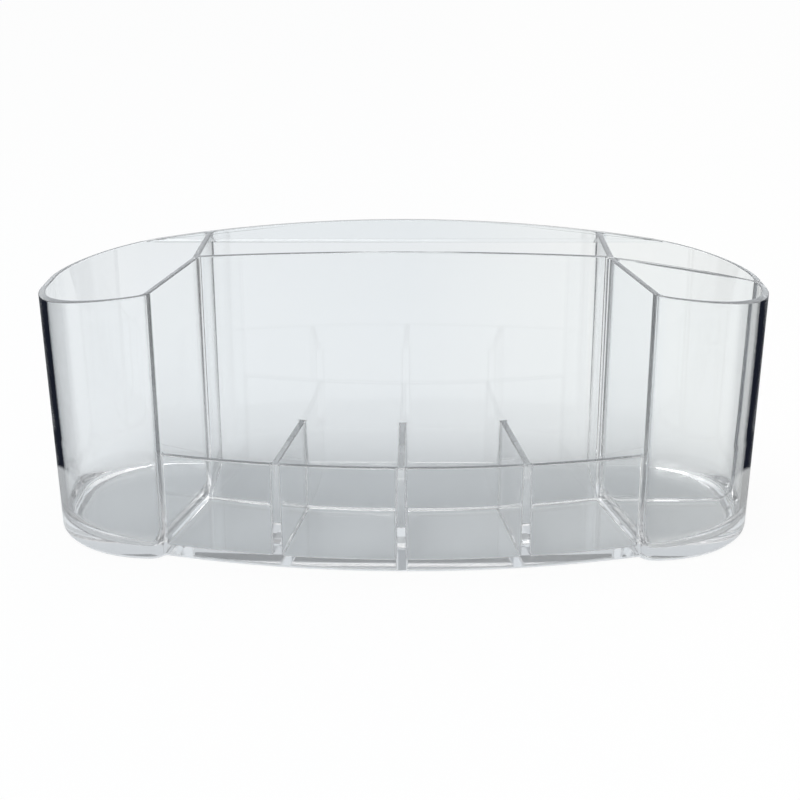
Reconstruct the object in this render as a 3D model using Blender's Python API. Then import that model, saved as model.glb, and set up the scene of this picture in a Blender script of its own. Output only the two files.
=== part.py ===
"""Clear plastic vanity organizer, modelled as the walls, dividers and floor that it is made of.

Metres, +Z up. The origin is the middle of the footprint on the surface that the organizer
stands on, +X runs to its right and +Y to its back. The rim is an arch: it is highest over the
middle of the back wall and falls towards both ends, and every tall wall is cut by that arch.
Two tall round lobes stand at the ends. Between them a tall bowed partition closes off one long
compartment at the back, and a low bowed wall in front holds four bays.
"""

import math

import bmesh
import bpy

MM = 0.001

# Overall sizes
RIM_WIDTH = 301.6 * MM
DEPTH = 112 * MM
HEIGHT = 119.4 * MM
RIM_DROP = 16.1 * MM
FRONT_HEIGHT = 45.2 * MM

# Sections
WALL = 2.8 * MM
FLOOR = 4.6 * MM
FLOOR_EDGE = 1.6 * MM
BAY_DIVIDER_TOP = 2.7 * MM
BAY_DIVIDER_FOOT = 3.4 * MM
BOND_GAP = 0.3 * MM
BACK_DRAFT = math.radians(1.6)
END_DRAFT = math.radians(1)

# Lobes, seen from above. END_FLAT is the least straight stretch between two roundings
LOBE_WIDTH = 65.3 * MM
LOBE_SETBACK = 10.4 * MM
LOBE_CORNER = 6.4 * MM
BACK_ROUND = 41.5 * MM
END_FLAT = 4 * MM

# The two tall dividers run straight from the back wall to the partition, then flare out
FLARE = math.radians(13.4)

# Rear partition and front wall, both bowed to the front
BAY_DEPTH = 50.9 * MM
PARTITION_BOW = 12.7 * MM
FRONT_RADIUS = 350 * MM

# Low dividers of the four bays
BAY_PITCH = 43.3 * MM
BAY_SPLAY = math.radians(8.8)

# Number of flats on each curve
BACK_CORNER_STEPS = 14
FRONT_CORNER_STEPS = 14
LOBE_CORNER_STEPS = 6
BACK_STEPS = 16
PARTITION_STEPS = 20
FRONT_STEPS = 20
POCKET_STEPS = 4
LOBE_BACK_STEPS = 3
EDGE_STEPS = 3
HALVINGS = 50
SHARP_ANGLE = math.radians(30)

PLASTIC_TINT = (0.80, 0.85, 0.87, 1.0)
PLASTIC_ROUGHNESS = 0.04
PLASTIC_IOR = 1.58

# Places that follow from the sizes above
HALF_WIDTH = RIM_WIDTH / 2
JUNCTION_HALF = HALF_WIDTH - LOBE_WIDTH
END_HEIGHT = HEIGHT - RIM_DROP
BACK_Y = DEPTH / 2 - math.tan(BACK_DRAFT) * RIM_DROP
FRONT_Y = -DEPTH / 2
LOBE_FRONT_Y = FRONT_Y + LOBE_SETBACK
PARTITION_Y = FRONT_Y + BAY_DEPTH
JUNCTION_Y = PARTITION_Y + PARTITION_BOW
WALL_FOOT = FLOOR + BOND_GAP
RIM_RADIUS = (HALF_WIDTH**2 + RIM_DROP**2) / (2 * RIM_DROP)
PARTITION_RADIUS = (JUNCTION_HALF**2 + PARTITION_BOW**2) / (2 * PARTITION_BOW)
PARTITION_CENTRE_Y = PARTITION_Y + PARTITION_RADIUS
FRONT_CENTRE_Y = FRONT_Y + FRONT_RADIUS
DIVIDER_MIDDLE = JUNCTION_HALF + WALL / 2


def clear_scene():
    """Start from an empty scene."""
    for thing in list(bpy.data.objects):
        bpy.data.objects.remove(thing, do_unlink=True)


def clear_plastic(name):
    """Water-clear rigid plastic with a faint cool tint."""
    material = bpy.data.materials.new(name)
    material.use_nodes = True
    shader = material.node_tree.nodes["Principled BSDF"]
    shader.inputs["Base Color"].default_value = PLASTIC_TINT
    shader.inputs["Roughness"].default_value = PLASTIC_ROUGHNESS
    shader.inputs["Metallic"].default_value = 0.0
    shader.inputs["IOR"].default_value = PLASTIC_IOR
    shader.inputs["Transmission Weight"].default_value = 1.0
    return material


def rim_height(x):
    """Height of the arched rim at x."""
    return HEIGHT - RIM_RADIUS + math.sqrt(RIM_RADIUS**2 - x**2)


def lean(nx, ny, z):
    """How far the outer shell's face with normal (nx, ny) stands inside its rim outline at z."""
    slope = math.tan(END_DRAFT) * max(nx, 0.0) ** 2
    if ny > 0:
        slope += math.tan(BACK_DRAFT) * ny**2
    return slope * (END_HEIGHT - z)


def shell_face(station, z, inset):
    """Point of the outer shell at z, moved in by inset, for a station (x, y, nx, ny)."""
    x, y, nx, ny = station
    move = lean(nx, ny, z) + inset
    return (x - nx * move, y - ny * move)


def arc_stations(cx, cy, radius, start, end, steps):
    """Stations along an arc, with their outward normals, both ends included."""
    stations = []
    for i in range(steps + 1):
        angle = math.radians(start + (end - start) * i / steps)
        nx, ny = math.cos(angle), math.sin(angle)
        stations.append((cx + radius * nx, cy + radius * ny, nx, ny))
    return stations


def lobe_corner_centre():
    """Centre of the small corner that turns a lobe's front into its flared divider."""
    cy = LOBE_FRONT_Y + LOBE_CORNER
    cx = JUNCTION_HALF + (LOBE_CORNER - (cy - JUNCTION_Y) * math.sin(FLARE)) / math.cos(FLARE)
    return cx, cy


def front_corner():
    """Radius of a lobe's front: it runs from the small corner to the end in one arc."""
    return HALF_WIDTH - lobe_corner_centre()[0]


def back_corner():
    """Radius of a lobe's back corner, as wide as the lobe's depth and width leave room for."""
    depth_room = BACK_Y - LOBE_FRONT_Y - front_corner() - END_FLAT
    width_room = HALF_WIDTH - DIVIDER_MIDDLE - END_FLAT
    return min(BACK_ROUND, depth_room, width_room)


def back_stations(first_x, last_x):
    """Stations along the straight back of the right lobe, up to its back corner."""
    stations = []
    for i in range(LOBE_BACK_STEPS):
        x = first_x + (last_x - first_x) * i / LOBE_BACK_STEPS
        stations.append((x, BACK_Y, 0.0, 1.0))
    return stations


def lobe_stations(first_x):
    """Right lobe's outer face from first_x on the back wall, round the end, to the flare."""
    back, front = back_corner(), front_corner()
    cx, cy = lobe_corner_centre()
    stations = back_stations(first_x, HALF_WIDTH - back)
    stations += arc_stations(HALF_WIDTH - back, BACK_Y - back, back, 90, 0, BACK_CORNER_STEPS)
    stations += arc_stations(cx, LOBE_FRONT_Y + front, front, 0, -90, FRONT_CORNER_STEPS)
    flare_end = -180 + math.degrees(FLARE)
    stations += arc_stations(cx, cy, LOBE_CORNER, -90, flare_end, LOBE_CORNER_STEPS)
    return drop_doubles(stations)


def drop_doubles(stations):
    """Leave out a station that lies on the one before it."""
    kept = [stations[0]]
    for station in stations[1:]:
        if math.dist(station[:2], kept[-1][:2]) > BOND_GAP:
            kept.append(station)
    return kept


def flare_x(y, offset):
    """x of the right divider's flared bay-side face at y, moved to the lobe by offset."""
    return JUNCTION_HALF + (JUNCTION_Y - y) * math.tan(FLARE) + offset / math.cos(FLARE)


def circle_y(centre_y, radius, x):
    """y of the front side of a circle centred on the Y axis."""
    return centre_y - math.sqrt(radius**2 - x**2)


def bay_side_x(y, gap):
    """x of the surface that faces the bays at y, flared divider or lobe corner, less a gap."""
    cx, cy = lobe_corner_centre()
    tangent_y = cy - LOBE_CORNER * math.sin(FLARE)
    if y >= tangent_y:
        return flare_x(y, -gap)
    return cx - math.sqrt(max((LOBE_CORNER + gap) ** 2 - (y - cy) ** 2, 0.0))


def front_wall_end(radius, gap):
    """Where a circle of the front wall meets the right lobe, found by halving."""
    near, far = 0.0, lobe_corner_centre()[0]
    for _ in range(HALVINGS):
        x = (near + far) / 2
        if x < bay_side_x(circle_y(FRONT_CENTRE_Y, radius, x), gap):
            near = x
        else:
            far = x
    return x, circle_y(FRONT_CENTRE_Y, radius, x)


def make_object(name, mesh_builder):
    """Finish a bmesh as a named object with its own material."""
    bmesh.ops.recalc_face_normals(mesh_builder, faces=mesh_builder.faces)
    mesh = bpy.data.meshes.new(name)
    mesh_builder.to_mesh(mesh)
    mesh_builder.free()
    mesh.materials.append(clear_plastic(name))
    mesh.shade_smooth()
    mesh.set_sharp_from_angle(angle=SHARP_ANGLE)
    thing = bpy.data.objects.new(name, mesh)
    bpy.context.collection.objects.link(thing)
    return thing


def skin_rings(name, rings):
    """Closed solid through rings of equal length, with flat ends."""
    builder = bmesh.new()
    loops = [[builder.verts.new(point) for point in ring] for ring in rings]
    count = len(loops[0])
    for here, there in zip(loops, loops[1:]):
        for i in range(count):
            j = (i + 1) % count
            builder.faces.new((here[i], here[j], there[j], there[i]))
    builder.faces.new(loops[0])
    builder.faces.new(reversed(loops[-1]))
    return make_object(name, builder)


def mirror_rings(rings):
    """The same rings on the organizer's other side."""
    return [[(-x, y, z) for x, y, z in ring] for ring in rings]


def section(inner_foot, outer_foot, outer_top, inner_top, top_z):
    """Four corners of a wall's section, from its foot on the floor to its rim."""
    return [
        (*inner_foot, WALL_FOOT),
        (*outer_foot, WALL_FOOT),
        (*outer_top, top_z),
        (*inner_top, top_z),
    ]


def shell_section(station):
    """Section of the outer shell at a station."""
    top_z = rim_height(station[0])
    return section(
        shell_face(station, WALL_FOOT, WALL),
        shell_face(station, WALL_FOOT, 0),
        shell_face(station, top_z, 0),
        shell_face(station, top_z, WALL),
        top_z,
    )


def floor_loop(z, inset):
    """Outline of the floor at z, moved in by inset, from the back round the right side."""
    notch_x, notch_y = front_wall_end(FRONT_RADIUS, 0)
    right = [s for s in lobe_stations(0) if s[2] >= 0 or s[1] < notch_y - BOND_GAP]
    half = [(*shell_face(s, z, inset), z) for s in right[1:]]
    half.append((notch_x, notch_y + inset, z))
    sweep = math.asin(notch_x / FRONT_RADIUS)
    for i in range(FRONT_STEPS // 2 - 1, 0, -1):
        angle = sweep * i / (FRONT_STEPS // 2)
        radius = FRONT_RADIUS - inset
        half.append((radius * math.sin(angle), FRONT_CENTRE_Y - radius * math.cos(angle), z))
    back = (*shell_face(right[0], z, inset), z)
    front = (0.0, FRONT_Y + inset, z)
    left = [(-x, y, level) for x, y, level in reversed(half)]
    return [back, *half, front, *left]


def make_floor():
    """Flat floor that all walls stand on, with its lower edge rounded."""
    rings = []
    for i in range(EDGE_STEPS + 1):
        angle = math.radians(90) * i / EDGE_STEPS
        z = FLOOR_EDGE - FLOOR_EDGE * math.cos(angle)
        rings.append(floor_loop(z, FLOOR_EDGE * (1 - math.sin(angle))))
    rings.append(floor_loop(FLOOR, 0))
    return skin_rings("floor_plate", rings)


def make_back_wall():
    """Straight back wall between the two tall dividers."""
    half = DIVIDER_MIDDLE - BOND_GAP / 2
    rings = []
    for i in range(BACK_STEPS + 1):
        x = half * (2 * i / BACK_STEPS - 1)
        rings.append(shell_section((x, BACK_Y, 0.0, 1.0)))
    return skin_rings("back_wall", rings)


def make_end_walls():
    """Round wall of each lobe, from the back wall to the foot of the flared divider."""
    stations = lobe_stations(DIVIDER_MIDDLE + BOND_GAP / 2)
    rings = [shell_section(s) for s in stations]
    skin_rings("right_end_wall", rings)
    skin_rings("left_end_wall", mirror_rings(rings))


def divider_rear_y(z):
    """y where the tall dividers stop short of the leaning back wall."""
    return BACK_Y - lean(0.0, 1.0, z) - WALL - BOND_GAP


def make_tall_dividers():
    """Full-height divider beside each lobe, straight behind the partition, flared before it."""
    cx, cy = lobe_corner_centre()
    normal_x, normal_y = -math.cos(FLARE), -math.sin(FLARE)
    back_step = (-math.sin(FLARE) * BOND_GAP, math.cos(FLARE) * BOND_GAP)
    front_bay = (
        cx + LOBE_CORNER * normal_x + back_step[0],
        cy + LOBE_CORNER * normal_y + back_step[1],
    )
    front_lobe = (front_bay[0] - normal_x * WALL, front_bay[1] - normal_y * WALL)
    bend_bay = (JUNCTION_HALF, JUNCTION_Y)
    bend_lobe = (JUNCTION_HALF + WALL, JUNCTION_Y + WALL * math.tan(FLARE / 2))
    rings = []
    for bay, lobe in ((front_bay, front_lobe), (bend_bay, bend_lobe)):
        top_z = rim_height((bay[0] + lobe[0]) / 2)
        rings.append(section(bay, lobe, lobe, bay, top_z))
    top_z = rim_height(DIVIDER_MIDDLE)
    foot_y, top_y = divider_rear_y(WALL_FOOT), divider_rear_y(top_z)
    rings.append(
        section(
            (JUNCTION_HALF, foot_y),
            (JUNCTION_HALF + WALL, foot_y),
            (JUNCTION_HALF + WALL, top_y),
            (JUNCTION_HALF, top_y),
            top_z,
        )
    )
    skin_rings("right_divider", rings)
    skin_rings("left_divider", mirror_rings(rings))


def make_partition():
    """Tall bowed partition between the dividers, in front of the long rear compartment."""
    half = JUNCTION_HALF - BOND_GAP
    front_sweep = math.asin(half / PARTITION_RADIUS)
    rear_radius = PARTITION_RADIUS - WALL
    rear_sweep = math.asin(half / rear_radius)
    rings = []
    for i in range(PARTITION_STEPS + 1):
        share = 2 * i / PARTITION_STEPS - 1
        front_x = PARTITION_RADIUS * math.sin(front_sweep * share)
        rear_x = rear_radius * math.sin(rear_sweep * share)
        front = (front_x, circle_y(PARTITION_CENTRE_Y, PARTITION_RADIUS, front_x))
        rear = (rear_x, circle_y(PARTITION_CENTRE_Y, rear_radius, rear_x))
        rings.append(section(front, rear, rear, front, rim_height(front_x)))
    return skin_rings("rear_partition", rings)


def end_wall_inner_x(y, z):
    """x of the right end wall's inner face at y and z, along its stations."""
    points = [shell_face(s, z, WALL) for s in lobe_stations(DIVIDER_MIDDLE)]
    for (x0, y0), (x1, y1) in zip(points, points[1:]):
        if x0 > DIVIDER_MIDDLE and y1 <= y <= y0 and y1 < y0:
            return x0 + (x1 - x0) * (y0 - y) / (y0 - y1)
    return points[-1][0]


def make_pocket_divider():
    """Straight wall across the right lobe, in line with the ends of the partition."""
    middle_y = JUNCTION_Y + WALL * math.tan(FLARE / 2)
    front_y, rear_y = middle_y - WALL / 2, middle_y + WALL / 2
    front_start = flare_x(front_y, WALL + BOND_GAP)
    rear_start = JUNCTION_HALF + WALL + BOND_GAP
    rings = []
    for i in range(POCKET_STEPS + 1):
        share = i / POCKET_STEPS
        ring_top = rim_height(rear_start + (HALF_WIDTH - WALL - rear_start) * share)
        corners = []
        for y, start, z in (
            (front_y, front_start, WALL_FOOT),
            (rear_y, rear_start, WALL_FOOT),
            (rear_y, rear_start, ring_top),
            (front_y, front_start, ring_top),
        ):
            end = end_wall_inner_x(y, z) - BOND_GAP
            corners.append((start + (end - start) * share, y, z))
        rings.append(corners)
    return skin_rings("pocket_divider", rings)


def make_front_wall():
    """Low bowed wall along the front of the bays."""
    inner_radius = FRONT_RADIUS - WALL
    outer_sweep = math.asin(front_wall_end(FRONT_RADIUS, BOND_GAP)[0] / FRONT_RADIUS)
    inner_sweep = math.asin(front_wall_end(inner_radius, BOND_GAP)[0] / inner_radius)
    rings = []
    for i in range(FRONT_STEPS + 1):
        share = 2 * i / FRONT_STEPS - 1
        outer_x = FRONT_RADIUS * math.sin(outer_sweep * share)
        inner_x = inner_radius * math.sin(inner_sweep * share)
        outer = (outer_x, circle_y(FRONT_CENTRE_Y, FRONT_RADIUS, outer_x))
        inner = (inner_x, circle_y(FRONT_CENTRE_Y, inner_radius, inner_x))
        rings.append(section(inner, outer, outer, inner, FRONT_HEIGHT))
    return skin_rings("front_wall", rings)


def bay_divider_point(foot_x, splay, side, centre_y, radius):
    """Where a bay divider's face, side away from its middle line, meets a bowed wall's circle."""
    low, high = FRONT_Y - WALL, JUNCTION_Y + WALL
    for _ in range(HALVINGS):
        y = (low + high) / 2
        x = foot_x + (PARTITION_Y - y) * math.tan(splay) + side / math.cos(splay)
        if y < circle_y(centre_y, radius, x):
            low = y
        else:
            high = y
    return x, y


def make_bay_divider(name, foot_x, splay):
    """Low divider from the partition to the front wall, a little thicker at its foot."""
    front_radius = FRONT_RADIUS - WALL - BOND_GAP
    rear_radius = PARTITION_RADIUS + BOND_GAP
    rings = []
    for centre_y, radius in (
        (PARTITION_CENTRE_Y, rear_radius),
        (FRONT_CENTRE_Y, front_radius),
    ):
        foot, top = BAY_DIVIDER_FOOT / 2, BAY_DIVIDER_TOP / 2
        corners = [
            bay_divider_point(foot_x, splay, side, centre_y, radius)
            for side in (-foot, foot, top, -top)
        ]
        rings.append(section(*corners, FRONT_HEIGHT))
    return skin_rings(name, rings)


def build():
    """Build every piece."""
    clear_scene()
    make_floor()
    make_back_wall()
    make_end_walls()
    make_tall_dividers()
    make_partition()
    make_pocket_divider()
    make_front_wall()
    make_bay_divider("left_bay_divider", -BAY_PITCH, -BAY_SPLAY)
    make_bay_divider("middle_bay_divider", 0.0, 0.0)
    make_bay_divider("right_bay_divider", BAY_PITCH, BAY_SPLAY)


build()
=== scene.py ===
"""Looks of the clear plastic vanity organizer.

The organizer is one clear moulding. It is built here as one closed skin, from the outlines of
its outside and of its compartments, with its rim rounding, fillets and coves. The skin is then
parted into the pieces that stand for the plain nodes. They meet without a gap and keep the
shading of the whole, so that it still looks like one body of plastic. A pale floor, soft light
and the photograph's camera complete the scene. Lengths are in metres; +Y points to the back
wall, and +Z up.
"""

import math
from typing import NamedTuple

import bmesh
import bpy
import numpy as np
from mathutils import Matrix, Vector
from mathutils.bvhtree import BVHTree
from mathutils.geometry import barycentric_transform, tessellate_polygon


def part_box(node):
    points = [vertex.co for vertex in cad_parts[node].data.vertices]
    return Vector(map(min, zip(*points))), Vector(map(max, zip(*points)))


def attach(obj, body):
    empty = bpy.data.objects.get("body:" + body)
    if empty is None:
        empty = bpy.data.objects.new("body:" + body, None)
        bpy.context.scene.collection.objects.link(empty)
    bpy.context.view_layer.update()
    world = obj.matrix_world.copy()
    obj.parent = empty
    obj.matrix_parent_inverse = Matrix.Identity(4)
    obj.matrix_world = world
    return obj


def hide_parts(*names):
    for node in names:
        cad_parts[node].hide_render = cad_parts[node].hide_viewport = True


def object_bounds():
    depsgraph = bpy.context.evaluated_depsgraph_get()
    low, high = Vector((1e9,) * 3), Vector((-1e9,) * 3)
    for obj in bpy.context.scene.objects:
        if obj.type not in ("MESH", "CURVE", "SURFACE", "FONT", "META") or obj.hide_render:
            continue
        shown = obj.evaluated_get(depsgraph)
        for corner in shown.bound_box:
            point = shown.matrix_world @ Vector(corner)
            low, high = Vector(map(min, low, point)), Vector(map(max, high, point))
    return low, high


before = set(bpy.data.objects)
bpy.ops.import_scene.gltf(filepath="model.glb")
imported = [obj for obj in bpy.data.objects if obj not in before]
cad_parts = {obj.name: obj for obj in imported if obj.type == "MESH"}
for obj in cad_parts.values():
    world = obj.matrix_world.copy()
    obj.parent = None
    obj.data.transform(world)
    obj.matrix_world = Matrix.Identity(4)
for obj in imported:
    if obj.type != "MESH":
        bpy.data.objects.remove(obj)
MM = 0.001

# Overall sizes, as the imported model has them
CAD_LOW, CAD_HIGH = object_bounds()
HALF_WIDTH = CAD_HIGH.x
HEIGHT = CAD_HIGH.z
FRONT_Y = CAD_LOW.y
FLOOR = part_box("floor_plate")[1].z
FRONT_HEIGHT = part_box("front_wall")[1].z
LOBE_FRONT_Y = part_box("right_end_wall")[0].y
JUNCTION_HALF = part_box("right_divider")[0].x
PARTITION_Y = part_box("rear_partition")[0].y

# Sections and drafts; the rim's arch drops from the middle to the ends
RIM_DROP = 16.1 * MM
WALL = 2.8 * MM
FLOOR_EDGE = 1.6 * MM
BAY_DIVIDER_TOP = 2.7 * MM
BAY_DIVIDER_FOOT = 3.4 * MM
SEAM = 0.15 * MM
BACK_DRAFT = math.tan(math.radians(1.6))
END_DRAFT = math.tan(math.radians(1))

# Plan; the tall dividers flare outward in front, and the outer bay dividers are splayed
FLARE = math.radians(13.4)
LOBE_CORNER = 6.4 * MM
BACK_ROUND = 41.5 * MM
PARTITION_BOW = 12.7 * MM
FRONT_RADIUS = 350 * MM
BAY_PITCH = 43.3 * MM
BAY_SPLAY = math.radians(8.8)

# Roundings that only the moulding has; the lobes' coves widen from their dividers outward
FLOOR_COVE = 9.0 * MM
DIVIDER_COVE = 3.4 * MM
SMALL_COVE = 0.8 * MM
LIP = 0.5 * MM
BACK_FILLET = 2.6 * MM
PARTITION_FILLET = 1.8 * MM
POCKET_FILLET = 1.6 * MM
BAY_FILLET = 1.4 * MM
FRONT_FILLET = 1.2 * MM
NOTCH_FILLET = 1.0 * MM
BEND_RADIUS = 6 * MM
LEAST_FILLET = 0.3 * MM

# Places that follow
END_HEIGHT = HEIGHT - RIM_DROP
BACK_Y = CAD_HIGH.y - BACK_DRAFT * RIM_DROP
RIM_RADIUS = (HALF_WIDTH**2 + RIM_DROP**2) / (2 * RIM_DROP)
JUNCTION_Y = PARTITION_Y + PARTITION_BOW
PARTITION_RADIUS = (JUNCTION_HALF**2 + PARTITION_BOW**2) / (2 * PARTITION_BOW)
PARTITION_CENTRE = np.array((0.0, PARTITION_Y + PARTITION_RADIUS))
FRONT_CENTRE = np.array((0.0, FRONT_Y + FRONT_RADIUS))
DIVIDER_MIDDLE = JUNCTION_HALF + WALL / 2
POCKET_Y = JUNCTION_Y + WALL * math.tan(FLARE / 2)
CORNER_Y = LOBE_FRONT_Y + LOBE_CORNER
CORNER_X = (
    JUNCTION_HALF + (LOBE_CORNER - (CORNER_Y - JUNCTION_Y) * math.sin(FLARE)) / math.cos(FLARE)
)
FRONT_ROUND = HALF_WIDTH - CORNER_X
CORNER_START = FLARE - math.pi
CORNER_END = -math.pi / 2

# Fineness of the paths from which the mesh takes its points
PLAN_STEP = 0.5 * MM
ARC_STEP = 1.0 * MM
ARC_TURN = math.radians(1)
LEAST_CROSS = 1e-18

# Fineness of the mesh
LONGEST = 4 * MM
WIDEST_TURN = math.radians(2)
ROW = 20 * MM
COVE_STEPS = 8
LIP_STEPS = 3
FILLET_STEPS = 6
SHARP_ANGLE = math.radians(40)

# How far a face runs on past its corners, and how near a corner its points slide with it
REACH = 14 * MM

# Splitting into pieces
CUT_FOOT = -10 * MM
CUT_TOP = HEIGHT + 20 * MM
BOW_POINTS = 61
SEAM_CORNER_END = -math.pi * 2 / 3
JOINT_SLOT = 1
INTO_FACE = 0.02

# Plastic, with its slow changes of tone, its few haze marks and the waves in its faces
IOR = 1.58
TINT_DEEP = (0.965, 0.975, 0.98, 1)
TINT_PALE = (0.985, 0.99, 0.993, 1)
TONE_SCALE = 14.0
TONE_DETAIL = 2.0
POLISH = 0.004
HAZE = 0.03
HAZE_FROM = (0.4, 0.8)
HAZE_SCALE = 60.0
HAZE_DETAIL = 4.0
WAVE_SCALE = 22.0
WAVE_DETAIL = 1.0
WAVE_HEIGHT = 0.03 * MM

# What the plastic lets through to the floor, met squarely and met edge on
SHADE_TINT = (0.908, 0.913, 0.915, 1)
SHADE_EDGE = (0.05, 0.05, 0.06, 1)
EDGE_ON_BLEND = 0.5
EDGE_ON_POWER = 3.0

# Light on the scene
WHITE = (1, 1, 1, 1)
SKY_LIGHT = 0.75
LAMP_SIZE = 1.2
LAMP_POWER = 10
LAMP_PLACE = Vector((-0.5, -0.6, 1.6))

# Floor, with painted light: a little paler on the organizer's right, as if more light fell there
GROUND_HALF = 8.0
GROUND_Z = -0.2 * MM
GROUND_COLOUR = (0.88, 0.905, 0.92, 1)
PAINTED_LIGHT_SIDE = (0.98, 0.99, 0.975, 1)
PAINTED_LIGHT_FROM = (0.0, 160 * MM)
WHITE_SHARE = 0.93
BACKDROP_SHARE = 0.15

# Room that the plastic shows, and the upward or forward directions where its parts begin
BACKDROP = (0.82, 0.855, 0.885, 1)
BACKDROP_TOP = (0.14, 0.24)
DIM_WALL = (0.46, 0.48, 0.50, 1)
FRONT_ROOM = (0.14, 0.145, 0.16, 1)
ROOM_FRONT = (-0.4, -0.6)
ROOM_TOP = (0.5, 0.62)
# Painted shade, partly loss in the plastic: the room's colour for rays reflected many times
# inside it
LOSS_AND_PAINTED_SHADE = (0.03, 0.03, 0.04, 1)

# Dark floor beside the pale sweep, which the end walls mirror; it is less dark near the ends
# The same dark is painted shade on the floor for rays reflected many times inside the plastic
DARK_SIDE_AND_PAINTED_SHADE = (0.01, 0.012, 0.02, 1)
SWEEP_HALF = 150 * MM
SWEEP_FLARE = 0.26
SWEEP_EDGE = 10 * MM
SWEEP_START = (-50 * MM, -10 * MM)
SIDE_FROM = (148 * MM, 0.0, 0.0)
SIDE_REACH = (52 * MM, 59 * MM)
NEAR_SHARE = 0.5

# Light kept at each reflection inside the plastic, the loss on long ways, painted shade that
# darkens what is seen after five reflections or more (dark lines along edges), and the limits
KEPT_SHARE = 0.975
EDGE_BOUNCES = (4.5, 5.5)
EDGE_SHADE = 0.5
HALF_A_REFLECTION = 0.5
BOUNCES = 96
SEE_THROUGH_BOUNCES = 128

# Camera, fitted to the photograph's 800 pixel frame
PHOTO_WIDTH = 800
FOCAL_PIXELS = 1446.442
SENSOR = 36
CAMERA_PLACE = Vector((8.644, -579.69, 266.05)) * MM
CAMERA_PITCH = 0.3512805
CAMERA_YAW = -0.01695724
CAMERA_ROLL = -0.003442676
CLIP_START = 10 * MM
CLIP_END = 50


class Path:
    """Plan of one wall face at END_HEIGHT, from which its plan at any height follows.

    Each of its points has a unit normal, the slope of the draft there, and the share of a
    given inset by which it moves in.
    """

    def __init__(self, points, normals, slopes, shares=1.0):
        self.points = np.array(points, float)
        self.normals = np.array(normals, float)
        self.slopes = np.array(slopes, float)
        self.shares = np.broadcast_to(shares, len(self.slopes))
        step = np.diff(self.points, axis=0)
        turn = np.arccos(np.clip((self.normals[1:] * self.normals[:-1]).sum(1), -1, 1))
        weight = np.hypot(*step.T) / LONGEST + turn / WIDEST_TURN
        self.measure = np.concatenate(([0.0], np.cumsum(weight)))
        self.length = np.concatenate(([0.0], np.cumsum(np.hypot(*step.T))))

    def moved(self, z, inset, further=0.0):
        """The face's points at height z, moved in by their shares of inset, and further."""
        shift = self.slopes * (END_HEIGHT - z) + inset * self.shares + further
        return self.points + self.normals * shift[:, None]

    def sample(self, places, z, inset):
        """Points and normals at places, which are numbers along the path."""
        grid = np.arange(len(self.points))
        lines = self.moved(z, inset)
        at = np.stack([np.interp(places, grid, lines[:, i]) for i in (0, 1)], 1)
        normals = np.stack([np.interp(places, grid, self.normals[:, i]) for i in (0, 1)], 1)
        return at, normals / np.hypot(*normals.T)[:, None]

    def spread(self, start, end):
        """Places of points from start to end, closer where the path turns."""
        grid = np.arange(len(self.points))
        first, last = np.interp((start, end), grid, self.measure)
        count = max(int(math.ceil(last - first)) + 1, 3)
        return np.interp(np.linspace(first, last, count), self.measure, grid)

    def slid(self, places, start, end):
        """The same places, but those near the ends slid along to run from start to end."""
        grid = np.arange(len(self.points))
        at = np.interp(places, grid, self.length)
        first, last = np.interp((start, end), grid, self.length)
        reach = min(REACH, (at[-1] - at[0]) / 2)
        from_start = np.clip(1 - (at - at[0]) / reach, 0, 1)
        from_end = np.clip(1 - (at[-1] - at) / reach, 0, 1)
        at = at + (first - at[0]) * from_start + (last - at[-1]) * from_end
        return np.interp(at, self.length, grid)

    def reversed(self):
        """The same face, run through from its other end."""
        back = slice(None, None, -1)
        return Path(self.points[back], self.normals[back], self.slopes[back], self.shares[back])

    def mirrored(self):
        """The same face on the organizer's other side."""
        flip = np.array((-1.0, 1.0))
        face = self.reversed()
        return Path(face.points * flip, face.normals * flip, face.slopes, face.shares)


def join(*paths):
    """One path through several, which touch end to end."""
    return Path(
        np.concatenate([p.points for p in paths]),
        np.concatenate([p.normals for p in paths]),
        np.concatenate([p.slopes for p in paths]),
        np.concatenate([p.shares for p in paths]),
    )


def line(start, end, slope=0.0):
    """Straight face from start to end, with its inside on the left."""
    start, end = np.array(start, float), np.array(end, float)
    along = (end - start) / np.hypot(*(end - start))
    count = max(int(np.hypot(*(end - start)) / PLAN_STEP), 2)
    points = start + (end - start) * np.linspace(0, 1, count)[:, None]
    normals = np.tile((-along[1], along[0]), (count, 1))
    return Path(points, normals, np.full(count, slope))


def arc(centre, radius, start, end, inward=1):
    """Face along an arc between two angles; inward is 1 where its inside holds the centre."""
    turn = abs(end - start)
    count = max(int(turn / ARC_TURN), int(turn * radius / ARC_STEP), 3)
    angles = np.linspace(start, end, count)
    out = np.stack((np.cos(angles), np.sin(angles)), 1)
    return Path(np.array(centre) + radius * out, -inward * out, np.zeros(count))


def drafted(path):
    """The same shell face with the draft that its direction gives it."""
    out = -path.normals
    side = np.maximum(out[:, 0] * np.sign(path.points[:, 0]), 0)
    slopes = END_DRAFT * side**2 + BACK_DRAFT * np.maximum(out[:, 1], 0) ** 2
    return Path(path.points, path.normals, slopes, path.shares)


def shell(inset, first_x):
    """Right lobe's shell from its small corner round the front, end and back to first_x."""
    corner = arc((CORNER_X, CORNER_Y), LOBE_CORNER - inset, CORNER_START, CORNER_END)
    front_y = LOBE_FRONT_Y + FRONT_ROUND
    front = arc((CORNER_X, front_y), FRONT_ROUND - inset, CORNER_END, 0)
    back_x, back_y = HALF_WIDTH - BACK_ROUND, BACK_Y - BACK_ROUND
    end = line((HALF_WIDTH - inset, front_y), (HALF_WIDTH - inset, back_y))
    rear = arc((back_x, back_y), BACK_ROUND - inset, 0, math.pi / 2)
    behind = line((back_x, BACK_Y - inset), (first_x, BACK_Y - inset))
    return drafted(join(corner, front, end, rear, behind))


def flare_point(y, offset):
    """Point of the right divider's flared bay-side face at y, moved to the lobe by offset."""
    x = JUNCTION_HALF + (JUNCTION_Y - y) * math.tan(FLARE) + offset / math.cos(FLARE)
    return (x, y)


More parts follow.
